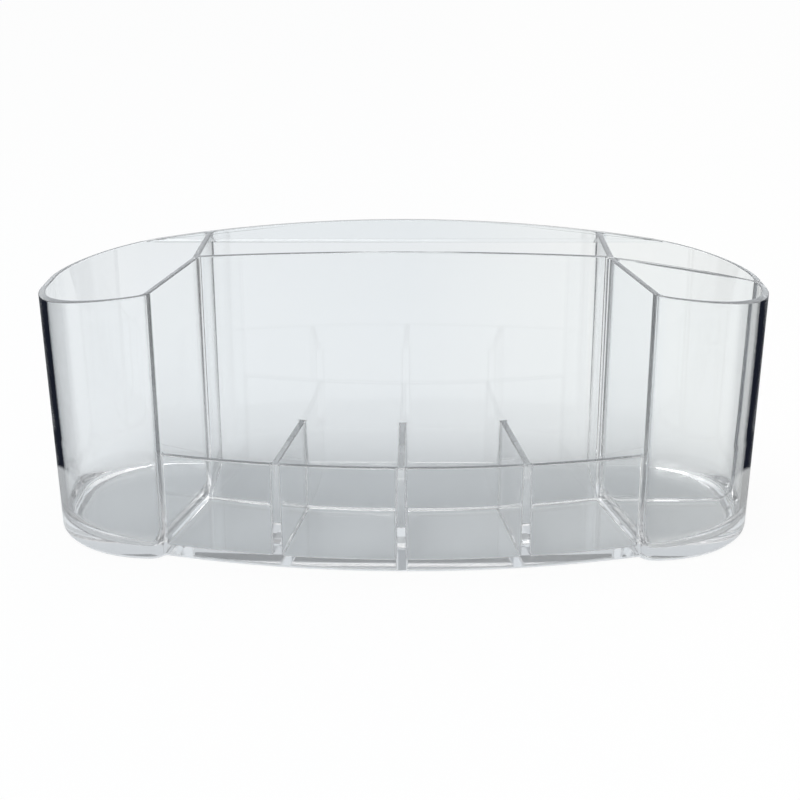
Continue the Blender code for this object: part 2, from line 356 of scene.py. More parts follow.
def flare_foot(offset):
    """Where the flared face, moved to the lobe by offset, runs into the small corner."""
    return (
        CORNER_X - (LOBE_CORNER - offset) * math.cos(FLARE),
        CORNER_Y - (LOBE_CORNER - offset) * math.sin(FLARE),
    )


def circle(centre, radius, half, inward):
    """Bowed face along a circle centred on the Y axis, from -half to half."""
    sweep = math.asin(half / radius)
    return arc(centre, radius, -math.pi / 2 - sweep, -math.pi / 2 + sweep, inward)


def bay_divider_face(foot_x, splay, side):
    """Face of a bay divider, on the side of its middle line that side says, going forward."""
    rear = np.array((foot_x, PARTITION_Y))
    ahead = np.array((math.sin(splay), -math.cos(splay)))
    out = np.array((math.cos(splay), math.sin(splay))) * side
    draft = (BAY_DIVIDER_FOOT - BAY_DIVIDER_TOP) / 2 / (FRONT_HEIGHT - FLOOR)
    base = BAY_DIVIDER_TOP / 2 - draft * (END_HEIGHT - FRONT_HEIGHT)
    start = rear - ahead * REACH + out * base
    end = rear + ahead * (abs(FRONT_Y - PARTITION_Y) + REACH) + out * base
    path = line(start, end, draft)
    path.normals[:] = out
    return path


def crossing(first, second):
    """Place along each of two polylines where the first one crosses the second one last."""
    a, b = first[:-1, None], second[None, :-1]
    u, v = first[1:, None] - a, second[None, 1:] - b
    gap = b - a
    cross = u[..., 0] * v[..., 1] - u[..., 1] * v[..., 0]
    cross = np.where(np.abs(cross) < LEAST_CROSS, np.inf, cross)
    s = (gap[..., 0] * v[..., 1] - gap[..., 1] * v[..., 0]) / cross
    t = (gap[..., 0] * u[..., 1] - gap[..., 1] * u[..., 0]) / cross
    hits = np.argwhere((s >= 0) & (s < 1) & (t >= 0) & (t < 1) & np.isfinite(cross))
    if len(hits) == 0:
        raise ValueError("two faces of the outline do not meet")
    i, j = hits[-1]
    return i + s[i, j], j + t[i, j]


class Face(NamedTuple):
    """One face of an outline, with the radius that rounds it into the next one.

    A marked face takes a ring's second inset. Next to low walls the tall faces are marked, as
    they don't end there, and in a tall compartment the round ones, whose cove is wide.
    """

    path: Path
    marked: bool
    radius: float


def mirror(faces):
    """The same outline's faces on the organizer's other side."""
    order = reversed(range(len(faces)))
    return [
        Face(faces[i].path.mirrored(), faces[i].marked, faces[i - 1].radius) for i in order
    ]


class Outline:
    """Closed outline of faces, each rounded into the next, with its inside on the left.

    Every ring takes its points from the same places along the faces, so rings can be joined.
    """

    def __init__(self, faces):
        self.paths = [face.path for face in faces]
        self.marked = [face.marked for face in faces]
        self.radii = [face.radius for face in faces]
        self.places = None

    def corner(self, i, z, insets):
        """Places where face i ends and the next one starts, the rounding's centre and radius."""
        j = (i + 1) % len(self.paths)
        first, second = self.paths[i], self.paths[j]
        radius = self.radii[i] - max(insets[i] * first.shares[-1], insets[j] * second.shares[0])
        if self.radii[i] > 0:
            radius = max(radius, LEAST_FILLET)
        a, b = first.moved(z, insets[i], radius), second.moved(z, insets[j], radius)
        if i == j:
            half = len(a) // 2
            here, there = crossing(a[half:], b[:half])
            return here + half, there, radius
        return (*crossing(a, b), radius)

    def ring(self, z, inset, marked_inset):
        """Points of the outline at height z; also where each face starts and ends in it."""
        insets = [marked_inset if marked else inset for marked in self.marked]
        corners = [self.corner(i, z, insets) for i in range(len(self.paths))]
        if self.places is None:
            self.places = [
                path.spread(corners[i - 1][1], corners[i][0]) for i, path in enumerate(self.paths)
            ]
        points, spans = [], []
        for i, path in enumerate(self.paths):
            end, following, radius = corners[i]
            places = path.slid(self.places[i], corners[i - 1][1], end)
            at, normals = path.sample(places, z, insets[i])
            spans.append((len(points), len(points) + len(at)))
            points.extend(at)
            j = (i + 1) % len(self.paths)
            _, other = self.paths[j].sample(np.array([following]), z, insets[j])
            centre = at[-1] + normals[-1] * radius
            points.extend(rounding(centre, radius, normals[-1], other[0]))
        return np.array(points), spans


def rounding(centre, radius, first, second):
    """Points between the ends of a rounding, whose normals turn from first to second."""
    start = math.atan2(first[1], first[0])
    turn = math.atan2(second[1], second[0]) - start
    turn = (turn + math.pi) % (2 * math.pi) - math.pi
    points = []
    for i in range(1, FILLET_STEPS):
        angle = start + turn * i / FILLET_STEPS
        points.append(centre - radius * np.array((math.cos(angle), math.sin(angle))))
    return points


def outer_faces():
    """Outline of the whole organizer: bowed low front, and the shell all round."""
    half = shell(0, 0)
    front = circle(FRONT_CENTRE, FRONT_RADIUS, CORNER_X, 1)
    return [
        Face(front, False, -NOTCH_FILLET),
        Face(join(half, half.mirrored()), True, -NOTCH_FILLET),
    ]


def rear_compartment_faces():
    """Long compartment between the partition, the tall dividers and the back wall."""
    wide = JUNCTION_HALF + REACH
    deep = BACK_Y + REACH
    front = circle(PARTITION_CENTRE, PARTITION_RADIUS - WALL, wide, 1)
    right = line((JUNCTION_HALF, PARTITION_Y), (JUNCTION_HALF, deep))
    back = line((wide, BACK_Y - WALL), (-wide, BACK_Y - WALL), BACK_DRAFT)
    left = line((-JUNCTION_HALF, deep), (-JUNCTION_HALF, PARTITION_Y))
    return [
        Face(front, False, PARTITION_FILLET),
        Face(right, False, BACK_FILLET),
        Face(back, False, BACK_FILLET),
        Face(left, False, PARTITION_FILLET),
    ]


def divider_straight():
    """Lobe side of the right divider's straight stretch, going forward."""
    x = JUNCTION_HALF + WALL
    return line((x, BACK_Y + REACH), (x, PARTITION_Y))


def widening(path):
    """The same right lobe face, with a cove that gets wider towards the organizer's end."""
    low = DIVIDER_COVE / FLOOR_COVE
    shares = low + (1 - low) * np.maximum(-path.normals[:, 0], 0)
    return Path(path.points, path.normals, path.slopes, shares)


def rear_pocket_faces():
    """Pocket behind the pocket divider, in the right lobe."""
    y = POCKET_Y + WALL / 2
    return [
        Face(line((JUNCTION_HALF, y), (HALF_WIDTH, y)), False, POCKET_FILLET),
        Face(widening(shell(WALL, JUNCTION_HALF)), True, BACK_FILLET),
        Face(divider_straight(), False, POCKET_FILLET),
    ]


def front_pocket_faces():
    """Pocket ahead of the pocket divider, in the right lobe."""
    y = POCKET_Y - WALL / 2
    flared = line(flare_point(JUNCTION_Y + REACH, WALL), flare_foot(WALL))
    return [
        Face(line((HALF_WIDTH, y), (JUNCTION_HALF, y)), False, POCKET_FILLET),
        Face(widening(join(flared, shell(WALL, CORNER_X))), True, POCKET_FILLET),
    ]


def lobe_faces():
    """Undivided lobe, as one face from the back wall along the divider and round the shell."""
    x = JUNCTION_HALF + WALL
    tangent = BEND_RADIUS * math.tan(FLARE / 2)
    straight = line((x, BACK_Y + REACH), (x, POCKET_Y + tangent))
    bend = arc((x + BEND_RADIUS, POCKET_Y + tangent), BEND_RADIUS, math.pi, math.pi + FLARE)
    flared = line(bend.points[-1], flare_foot(WALL))
    around = join(straight, bend, flared, shell(WALL, JUNCTION_HALF))
    return [Face(widening(around), True, BACK_FILLET)]


def partition_front():
    """Front face of the bowed partition, from left to right."""
    return circle(PARTITION_CENTRE, PARTITION_RADIUS, JUNCTION_HALF + REACH / 2, -1)


def bay_front():
    """Inner face of the bowed front wall, from left to right."""
    return circle(FRONT_CENTRE, FRONT_RADIUS - WALL, CORNER_X, 1)


def inner_bay_faces():
    """Bay between the middle divider and the right one."""
    return [
        Face(bay_front(), False, FRONT_FILLET),
        Face(bay_divider_face(BAY_PITCH, BAY_SPLAY, -1).reversed(), False, BAY_FILLET),
        Face(partition_front().reversed(), True, BAY_FILLET),
        Face(bay_divider_face(0, 0, 1), False, FRONT_FILLET),
    ]


def outer_bay_faces():
    """Bay between the right bay divider and the flared tall divider."""
    flared = line(flare_point(FRONT_Y, 0), flare_point(JUNCTION_Y + REACH, 0))
    return [
        Face(bay_front(), False, FRONT_FILLET),
        Face(flared, True, PARTITION_FILLET),
        Face(partition_front().reversed(), True, BAY_FILLET),
        Face(bay_divider_face(BAY_PITCH, BAY_SPLAY, 1), False, FRONT_FILLET),
    ]


def quarter(steps):
    """Pairs of 1 - cosine and 1 - sine through a quarter circle."""
    angles = np.linspace(0, math.pi / 2, steps + 1)
    return [(1 - math.cos(a), 1 - math.sin(a)) for a in angles]


def low_lip(sign):
    """Heights and both insets through the rounded top edge of a low wall."""
    steps = [(FRONT_HEIGHT - LIP, 0.0, 0.0)]
    for away, below in quarter(LIP_STEPS)[1:]:
        steps.append((FRONT_HEIGHT - LIP * below, sign * LIP * away, 0.0))
    return steps


def rim_height(x):
    """Height of the arched rim at x."""
    return HEIGHT - RIM_RADIUS + np.sqrt(RIM_RADIUS**2 - x**2)


def miters(ring):
    """How each corner of a closed ring moves to shift all its sides to their left by 1."""
    along = np.roll(ring, -1, axis=0) - ring
    along /= np.hypot(*along.T)[:, None]
    side = np.stack((-along[:, 1], along[:, 0]), 1)
    before = np.roll(side, 1, axis=0)
    return (side + before) / (1 + (side * before).sum(1))[:, None]


class Skin:
    """Vertices and faces of the moulding as they are added."""

    def __init__(self):
        self.points = []
        self.faces = []

    def ring(self, plan, heights):
        """Add a ring of vertices and return their numbers."""
        first = len(self.points)
        heights = np.broadcast_to(heights, len(plan))
        self.points.extend((x, y, z) for (x, y), z in zip(plan, heights))
        return list(range(first, len(self.points)))

    def band(self, lower, upper):
        """Faces between two closed rings of the same length."""
        for i in range(len(lower)):
            self.faces.append((lower[i - 1], lower[i], upper[i], upper[i - 1]))

    def column(self, rings):
        """Faces between each ring and the next one up."""
        for lower, upper in zip(rings, rings[1:]):
            self.band(lower, upper)

    def lid(self, loops):
        """Fill the flat region within the first loop and outside the others."""
        numbers = [n for loop in loops for n in loop]
        flat = [[Vector((*self.points[n][:2], 0.0)) for n in loop] for loop in loops]
        for triangle in tessellate_polygon(flat):
            self.faces.append(tuple(numbers[i] for i in triangle))


def rim_rings(skin, first_ring, foot_z, top, sign):
    """Carry a tall outline from its first ring to the rim and round its edge: the last ring.

    Top is its plan at the height of the rim's ends. Sign is 1 where the plastic lies inside
    the outline, and -1 where it lies outside.
    """
    foot = np.array([skin.points[n][:2] for n in first_ring])
    lean = (top - foot) / (END_HEIGHT - foot_z)
    crest = rim_height(top[:, 0])
    full_rise = crest - LIP - foot_z
    edge = foot + lean * full_rise[:, None]
    outward = miters(edge) * sign
    rings = [first_ring]
    rows = math.ceil((HEIGHT - foot_z) / ROW)
    for i in range(1, rows):
        rise = full_rise * i / rows
        rings.append(skin.ring(foot + lean * rise[:, None], foot_z + rise))
    for away, below in quarter(LIP_STEPS):
        rings.append(skin.ring(edge + outward * LIP * away, crest - LIP * below))
    skin.column(rings)
    return rings[-1]


def cove_inset(radius, z):
    """How far a cove of that radius still stands out from its wall at z above the floor."""
    return radius - math.sqrt(radius**2 - max(radius - z, 0) ** 2)


def cove_heights(*radii):
    """Heights above the floor through coves of these radii."""
    return sorted({radius * away for radius in radii for away, _ in quarter(COVE_STEPS)})


def tall_cavity(skin, faces):
    """Open compartment up to the rim, with a cove round its floor, wide at its round faces."""
    outline = Outline(faces)
    rings = []
    for z in cove_heights(SMALL_COVE, FLOOR_COVE):
        plan, _ = outline.ring(FLOOR + z, cove_inset(SMALL_COVE, z), cove_inset(FLOOR_COVE, z))
        rings.append(skin.ring(plan, FLOOR + z))
    skin.column(rings)
    skin.faces.append(tuple(rings[0]))
    top, _ = outline.ring(END_HEIGHT, 0, 0)
    return rim_rings(skin, rings[-1], FLOOR + FLOOR_COVE, top, -1)


def bay(skin, faces):
    """Low bay: the parts of its last ring along its tall faces and along its low ones.

    Seen from the front, the first part goes to the right, and the second one back to the left.
    """
    outline = Outline(faces)
    rings = []
    for z in cove_heights(SMALL_COVE):
        inset = cove_inset(SMALL_COVE, z)
        plan, _ = outline.ring(FLOOR + z, inset, inset)
        rings.append(skin.ring(plan, FLOOR + z))
    skin.faces.append(tuple(rings[0]))
    for z, low_inset, tall_inset in low_lip(-1):
        plan, spans = outline.ring(z, low_inset, tall_inset)
        rings.append(skin.ring(plan, z))
    skin.column(rings)
    ring = rings[-1]
    tall_spans = [span for span, marked in zip(spans, outline.marked) if marked]
    first, last = tall_spans[0][0], tall_spans[-1][1] - 1
    return ring[first : last + 1][::-1], (ring[last:] + ring[: first + 1])[::-1]


def nearest(path, point):
    """Number of the path's point that is nearest to a point."""
    return int(np.argmin(np.hypot(*(path.points - point).T)))


def connect(skin, path, start, end):
    """New vertices along path between two of the skin's vertices at the low walls' top."""
    first = nearest(path, skin.points[start][:2])
    last = nearest(path, skin.points[end][:2])
    plan, _ = path.sample(path.spread(first, last)[1:-1], FRONT_HEIGHT, 0)
    return skin.ring(plan, FRONT_HEIGHT)


def lower_outside(skin):
    """Underside and outside up to the low walls' top: last ring, shell's span, rim's plan."""
    outline = Outline(outer_faces())
    rings = []
    for away, below in quarter(LIP_STEPS):
        inset = FLOOR_EDGE * below
        plan, _ = outline.ring(FLOOR_EDGE * away, inset, inset)
        rings.append(skin.ring(plan, FLOOR_EDGE * away))
    skin.faces.append(tuple(reversed(rings[0])))
    rows = math.ceil(FRONT_HEIGHT / ROW)
    for z in np.linspace(FLOOR_EDGE, FRONT_HEIGHT - LIP, rows + 1)[1:-1]:
        plan, _ = outline.ring(z, 0, 0)
        rings.append(skin.ring(plan, z))
    for z, low_inset, tall_inset in low_lip(1):
        plan, spans = outline.ring(z, low_inset, tall_inset)
        rings.append(skin.ring(plan, z))
    skin.column(rings)
    rim_plan, _ = outline.ring(END_HEIGHT, LIP, 0)
    return rings[-1], spans[1], rim_plan


def link_walls(skin, shell_run, tall_runs):
    """Vertices across the low walls' tops, between the shell and the bays' tall faces."""
    corner = join(
        line(flare_point(JUNCTION_Y, 0), flare_foot(0)),
        arc((CORNER_X, CORNER_Y), LOBE_CORNER, CORNER_START, CORNER_END),
    )
    links = [connect(skin, corner.mirrored(), shell_run[-1], tall_runs[0][0])]
    for here, there in zip(tall_runs, tall_runs[1:]):
        links.append(connect(skin, partition_front(), here[-1], there[0]))
    links.append(connect(skin, corner, tall_runs[-1][-1], shell_run[0]))
    return links


def tall_loop(shell_run, tall_runs, links):
    """Foot of the tall walls' outside, all the way round."""
    loop = list(shell_run)
    for link, tall_run in zip(links, tall_runs):
        loop += link + tall_run
    return loop + links[-1]


def low_loop(shell_run, front_run, low_runs, links):
    """Edge of the low walls' flat tops: along the front, and back along the bays."""
    loop = [shell_run[-1], *front_run, shell_run[0]]
    for link, low_run in zip(links[:0:-1], low_runs[::-1]):
        loop += link[::-1] + low_run
    return loop + links[0][::-1]


def build_moulding():
    """The whole organizer as one closed skin."""
    skin = Skin()
    ring, (first, last), rim_plan = lower_outside(skin)
    shell_run = ring[first:last]
    front_run = ring[last:] + ring[:first]
    right_bays = [inner_bay_faces(), outer_bay_faces()]
    left_bays = [mirror(faces) for faces in reversed(right_bays)]
    tall_runs, low_runs = zip(*[bay(skin, faces) for faces in left_bays + right_bays])
    links = link_walls(skin, shell_run, tall_runs)

    foot = tall_loop(shell_run, tall_runs, links)
    top = np.array([skin.points[n][:2] for n in foot])
    top[: len(shell_run)] = rim_plan[first:last]
    outer_rim = rim_rings(skin, foot, FRONT_HEIGHT, top, 1)
    skin.lid([low_loop(shell_run, front_run, low_runs, links)])

    compartments = [
        rear_compartment_faces(),
        rear_pocket_faces(),
        front_pocket_faces(),
        mirror(lobe_faces()),
    ]
    skin.lid([outer_rim, *[tall_cavity(skin, faces) for faces in compartments]])
    return skin


def finish_mesh(mesh):
    """Turn the mesh's faces outward, and shade it smooth except at its sharp edges."""
    builder = bmesh.new()
    builder.from_mesh(mesh)
    bmesh.ops.recalc_face_normals(builder, faces=builder.faces)
    builder.to_mesh(mesh)
    builder.free()
    mesh.shade_smooth()
    mesh.set_sharp_from_angle(angle=SHARP_ANGLE)


def add_object(name, data):
    """New object in the scene that shows a mesh, lamp or camera."""
    thing = bpy.data.objects.new(name, data)
    bpy.context.scene.collection.objects.link(thing)
    return thing


def new_mesh(name, points, faces, materials):
    """Mesh from its points and faces, with its material slots."""
    mesh = bpy.data.meshes.new(name)
    mesh.from_pydata(points, [], faces)
    for material in materials:
        mesh.materials.append(material)
    return mesh


def make_moulding(materials):
    """The fused moulding as an object, its flat faces shaded flat up to their roundings."""
    skin = build_moulding()
    mesh = new_mesh("moulding", skin.points, skin.faces, materials)
    finish_mesh(mesh)
    moulding = add_object("moulding", mesh)
    moulding.modifiers.new("flat_faces", "WEIGHTED_NORMAL").keep_sharp = True
    moulding.data = applied(moulding)
    moulding.modifiers.clear()
    return moulding


def applied(thing):
    """The object's mesh with its modifiers applied."""
    graph = bpy.context.evaluated_depsgraph_get()
    return bpy.data.meshes.new_from_object(thing.evaluated_get(graph), depsgraph=graph)


def make_cutter(name, foot, top, materials):
    """Closed prism from a polygon below the organizer to one above it, for cutting."""
    count = len(foot)
    points = [(x, y, CUT_FOOT) for x, y in foot] + [(x, y, CUT_TOP) for x, y in top]
    faces = [tuple(reversed(range(count))), tuple(range(count, 2 * count))]
    for i in range(count):
        j = (i + 1) % count
        faces.append((i, j, count + j, count + i))
    mesh = new_mesh(name, points, faces, materials)
    mesh.polygons.foreach_set("material_index", np.full(len(faces), JOINT_SLOT, np.int32))
    finish_mesh(mesh)
    return add_object(name, mesh)


def cut(thing, cutter, operation):
    """The object's mesh after one cut, which leaves the object as it is."""
    modifier = thing.modifiers.new("cut", "BOOLEAN")
    modifier.operation = operation
    modifier.solver = "MANIFOLD"
    modifier.object = cutter
    mesh = applied(thing)
    thing.modifiers.remove(modifier)
    return mesh


def bow(centre, radius, first_x, last_x):
    """Points along the front of a circle centred on the Y axis, from first_x to last_x."""
    xs = np.linspace(first_x, last_x, BOW_POINTS)
    return [(x, centre[1] - math.sqrt(radius**2 - x**2)) for x in xs]


def box_plan(low_x, high_x, low_y, high_y):
    """Corners of a rectangle."""
    return [(low_x, low_y), (high_x, low_y), (high_x, high_y), (low_x, high_y)]


def seam_y(z):
    """y at height z of the seam between the back wall and what stands against it."""
    return BACK_Y - WALL - BACK_DRAFT * (END_HEIGHT - z) - SEAM


def back_wall_plan(z):
    """Back wall between the middles of the tall dividers."""
    return box_plan(-DIVIDER_MIDDLE, DIVIDER_MIDDLE, seam_y(z), CAD_HIGH.y + REACH)


def front_wall_plan(z):
    """All that lies ahead of the bays, between the two lobes; the same at every height."""
    flared = line(flare_point(JUNCTION_Y, -SEAM), flare_foot(-SEAM))
    corner = arc((CORNER_X, CORNER_Y), LOBE_CORNER + SEAM, CORNER_START, SEAM_CORNER_END)
    side = join(flared, corner)
    seam = circle(FRONT_CENTRE, FRONT_RADIUS - WALL - SEAM, CORNER_X, 1)
    place, start = crossing(seam.points, side.points)
    half_x = seam.points[int(place)][0]
    right = [tuple(p) for p in side.points[int(start) + 1 :]]
    right.append((right[-1][0], FRONT_Y - REACH))
    left = [(-x, y) for x, y in reversed(right)]
    return left + bow(FRONT_CENTRE, FRONT_RADIUS - WALL - SEAM, -half_x, half_x) + right


def bay_divider_plan(first_x, last_x):
    """Bay divider with the room beside it, from the partition's seam forward."""
    rear = bow(PARTITION_CENTRE, PARTITION_RADIUS + SEAM, first_x, last_x)
    return rear + [(last_x, FRONT_Y - REACH), (first_x, FRONT_Y - REACH)]


def partition_plan(z):
    """Bowed partition between the tall dividers; the same at every height."""
    half = JUNCTION_HALF - SEAM
    front = bow(PARTITION_CENTRE, PARTITION_RADIUS + SEAM, -half, half)
    return front + bow(PARTITION_CENTRE, PARTITION_RADIUS - WALL - SEAM, half, -half)


def pocket_divider_plan(z):
    """Pocket divider between the right tall divider and the end wall."""
    front_y = POCKET_Y - WALL / 2 - SEAM
    rear_y = POCKET_Y + WALL / 2 + SEAM
    far = HALF_WIDTH - WALL - END_DRAFT * (END_HEIGHT - z) - SEAM
    near = JUNCTION_HALF + WALL + SEAM
    return [
        flare_point(front_y, WALL + SEAM),
        (far, front_y),
        (far, rear_y),
        (near, rear_y),
        (near, POCKET_Y),
    ]


def tall_divider_plan(z):
    """Right divider with its roundings, from the back wall's seam to the lobe's small corner."""
    back = np.array((-math.sin(FLARE), math.cos(FLARE))) * SEAM
    bay_end = np.array(flare_foot(-NOTCH_FILLET)) + back
    lobe_end = np.array(flare_foot(WALL + DIVIDER_COVE)) + back
    far = lobe_end[0]
    near = JUNCTION_HALF - REACH
    y = seam_y(z)
    return [tuple(bay_end), tuple(lobe_end), (far, y), (near, y), (near, bay_end[1])]


def mirrored_plan(plan):
    """The same plan on the organizer's other side."""
    return lambda z: [(-x, y) for x, y in reversed(plan(z))]


def piece_plans():
    """Names of the pieces in the order in which they are cut off, with their plans."""
    wide = HALF_WIDTH + REACH
    inner = BAY_PITCH / 2
    outer = BAY_PITCH + inner
    return [
        ("back_wall", back_wall_plan),
        ("front_wall", front_wall_plan),
        ("left_bay_divider", lambda z: bay_divider_plan(-outer, -inner)),
        ("middle_bay_divider", lambda z: bay_divider_plan(-inner, inner)),
        ("right_bay_divider", lambda z: bay_divider_plan(inner, outer)),
        ("rear_partition", partition_plan),
        ("pocket_divider", pocket_divider_plan),
        ("left_divider", mirrored_plan(tall_divider_plan)),
        ("right_divider", tall_divider_plan),
        ("left_end_wall", lambda z: box_plan(-wide, 0, -wide, wide)),
    ]


def part_off(thing, cutter):
    """Mesh of what the cutter takes from the object; the object is left with the rest."""
    part = cut(thing, cutter, "INTERSECT")
    thing.data = cut(thing, cutter, "DIFFERENCE")
    bpy.data.objects.remove(cutter)
    return part


def split_moulding(moulding, materials):
    """Part the moulding at its walls; returns the pieces by the name of what each stands for."""
    wide = HALF_WIDTH + REACH
    slab = box_plan(-wide, wide, -wide, wide)
    cutter = make_cutter("floor_cut", slab, slab, materials)
    for vertex in cutter.data.vertices:
        if vertex.co.z > FLOOR:
            vertex.co.z = FLOOR + FLOOR_COVE + SEAM
    meshes = {"floor_plate": part_off(moulding, cutter)}
    for name, plan in piece_plans():
        cutter = make_cutter(name + "_cut", plan(CUT_FOOT), plan(CUT_TOP), materials)
        meshes[name] = part_off(moulding, cutter)
    meshes["right_end_wall"] = moulding.data
    return meshes


def take_connected(left):
    """Take one vertex and all that are connected to it out of a set; returns them."""
    part, ahead = [], [left.pop()]
    while ahead:
        vertex = ahead.pop()
        part.append(vertex)
        beside = {edge.other_vert(vertex) for edge in vertex.link_edges} & left
        left -= beside
        ahead.extend(beside)
    return part


def largest_part(mesh):
    """Leave only the mesh's largest connected part, without the slivers beside a seam."""
    builder = bmesh.new()
    builder.from_mesh(mesh)
    left = set(builder.verts)
    parts = []
    while left:
        parts.append(take_connected(left))
    for part in sorted(parts, key=len)[:-1]:
        bmesh.ops.delete(builder, geom=part, context="VERTS")
    builder.to_mesh(mesh)
    builder.free()


def corner_normal(source, triangle, point):
    """The moulding's shading normal at a point on one of its triangles."""
    corners = [source.vertices[i].co for i in triangle.vertices]
    normals = [source.corner_normals[i].vector for i in triangle.loops]
    return barycentric_transform(point, *corners, *normals).normalized()


def borrow_normals(mesh, source, tree):
    """Shade a piece as the moulding is shaded, so that no seam shows."""
    normals = [Vector(corner.vector) for corner in mesh.corner_normals]
    mesh.calc_loop_triangles()
    for triangle in mesh.loop_triangles:
        if triangle.material_index == JOINT_SLOT:
            continue
        corners = [mesh.vertices[i].co for i in triangle.vertices]
        middle = sum(corners, Vector()) / len(corners)
        for loop, point in zip(triangle.loops, corners):
            _, _, nearest_triangle, _ = tree.find_nearest(point.lerp(middle, INTO_FACE))
            found = source.loop_triangles[nearest_triangle]
            normals[loop] = corner_normal(source, found, point)
    mesh.normals_split_custom_set(normals)


def make_pieces(materials):
    """Every piece of the organizer, each in place of the plain node it stands for."""
    moulding = make_moulding(materials)
    source = moulding.data
    source.calc_loop_triangles()
    points = [v.co for v in source.vertices]
    triangles = [tuple(t.vertices) for t in source.loop_triangles]
    tree = BVHTree.FromPolygons(points, triangles)
    for name, mesh in split_moulding(moulding, materials).items():
        largest_part(mesh)
        mesh.name = "clear_" + name
        mesh.shade_smooth()
        borrow_normals(mesh, source, tree)
        piece = add_object("clear_" + name, mesh)
        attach(piece, "root")
        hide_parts(name)
    bpy.data.objects.remove(moulding)


class Nodes:
    """Node tree of a material or a world, emptied, with short ways to add nodes to it."""

    def __init__(self, owner):
        owner.use_nodes = True
        self.tree = owner.node_tree
        self.tree.nodes.clear()

    def add(self, kind, inputs, **settings):
        """New node of a kind, with its settings, and its inputs given a value or linked."""
        node = self.tree.nodes.new("ShaderNode" + kind)
        for name, value in settings.items():
            setattr(node, name, value)
        for name, value in inputs.items():
            if isinstance(value, bpy.types.NodeSocket):
                self.tree.links.new(value, node.inputs[name])
            else:
                node.inputs[name].default_value = value
        return node

    def ray(self, name):
        """Socket that says what kind of ray arrives, or how often it was reflected."""
        return self.add("LightPath", {}).outputs[name]

    def math(self, operation, first, second=0.0):
        """Socket of an operation on two values."""
        return self.add("Math", {0: first, 1: second}, operation=operation).outputs["Value"]

    def ramp(self, value, low, high, start=0.0, end=1.0):
        """Socket that goes from start at the low value to end at the high one."""
        limits = {"From Min": low, "From Max": high, "To Min": start, "To Max": end}
        return self.add("MapRange", {"Value": value, **limits}).outputs["Result"]

    def noise(self, place, scale, detail):
        """Socket of a cloudy pattern between 0 and 1."""
        pattern = {"Vector": place, "Scale": scale, "Detail": detail}
        return self.add("TexNoise", pattern).outputs["Fac"]

    def parts(self, vector):
        """X, Y and Z sockets of a vector."""
        return self.add("SeparateXYZ", {"Vector": vector}).outputs

    def mix_colours(self, factor, first, second):
        """Colour socket that goes from the first colour to the second one."""
        colours = {"Factor": factor, "A": first, "B": second}
        return self.add("Mix", colours, data_type="RGBA").outputs["Result"]

    def mix_shaders(self, factor, first, second):
        """Shader socket that goes from the first shader to the second one."""
        return self.add("MixShader", {"Fac": factor, 1: first, 2: second}).outputs["Shader"]

    def glow(self, kind, colour, strength=1.0):
        """Shader socket of a surface or a sky that gives off light."""
        return self.add(kind, {"Color": colour, "Strength": strength}).outputs[0]


def plastic_body(tree):
    """Clear plastic: faint cool tint, slow waves in its faces, a few haze marks."""
    place = tree.add("TexCoord", {}).outputs["Object"]
    tone = tree.noise(place, TONE_SCALE, TONE_DETAIL)
    haze = tree.noise(place, HAZE_SCALE, HAZE_DETAIL)
    wave = tree.noise(place, WAVE_SCALE, WAVE_DETAIL)
    relief = {"Strength": 1.0, "Distance": WAVE_HEIGHT, "Height": wave}
    look = {
        "Base Color": tree.mix_colours(tone, TINT_DEEP, TINT_PALE),
        "Roughness": tree.ramp(haze, *HAZE_FROM, POLISH, HAZE),
        "IOR": IOR,
        "Transmission Weight": 1.0,
        "Normal": tree.add("Bump", relief).outputs["Normal"],
    }
    return tree.add("BsdfPrincipled", look).outputs["BSDF"]


def plastic_shade(tree):
    """What light on its way to the floor passes: clear plastic, dark where it is met edge on."""
    edge_on = tree.add("LayerWeight", {"Blend": EDGE_ON_BLEND}).outputs["Facing"]
    blocked = tree.math("POWER", edge_on, EDGE_ON_POWER)
    tint = tree.mix_colours(blocked, SHADE_TINT, SHADE_EDGE)
    return tree.add("BsdfTransparent", {"Color": tint}).outputs["BSDF"]


def make_plastic():
    """Water-clear rigid plastic, which throws a pale shadow with dark edges."""
    material = bpy.data.materials.new("clear_plastic")
    tree = Nodes(material)
    light = tree.math("MAXIMUM", tree.ray("Is Shadow Ray"), tree.ray("Is Diffuse Ray"))
    surface = tree.mix_shaders(light, plastic_body(tree), plastic_shade(tree))
    tree.add("OutputMaterial", {"Surface": surface})
    return material


def make_joint():
    """Where two pieces are one plastic: nothing shows."""
    material = bpy.data.materials.new("fused_joint")
    tree = Nodes(material)
    surface = tree.add("BsdfTransparent", {}).outputs["BSDF"]
    tree.add("OutputMaterial", {"Surface": surface})
    return material


def seen_in_plastic(tree):
    """1 for rays that the plastic mirrors or lets through."""
    return tree.math("MAXIMUM", tree.ray("Is Glossy Ray"), tree.ray("Is Transmission Ray"))


def reflected(tree):
    """1 for rays that were reflected at least once."""
    return tree.math("GREATER_THAN", tree.ray("Glossy Depth"), HALF_A_REFLECTION)


def lost_and_painted_shade(tree):
    """Share of light lost on long ways to and fro inside the plastic, plus painted shade: from
    about five reflections on, a ray's view is darkened by EDGE_SHADE, for dark edge lines.
    """
    depth = tree.ray("Glossy Depth")
    lost = tree.math("SUBTRACT", 1.0, tree.math("POWER", KEPT_SHARE, depth))
    # Painted shade: from about five reflections on, what a ray sees is darkened by EDGE_SHADE
    painted_edge_shade = tree.math("MULTIPLY", tree.ramp(depth, *EDGE_BOUNCES), EDGE_SHADE)
    return tree.math("MAXIMUM", lost, painted_edge_shade)


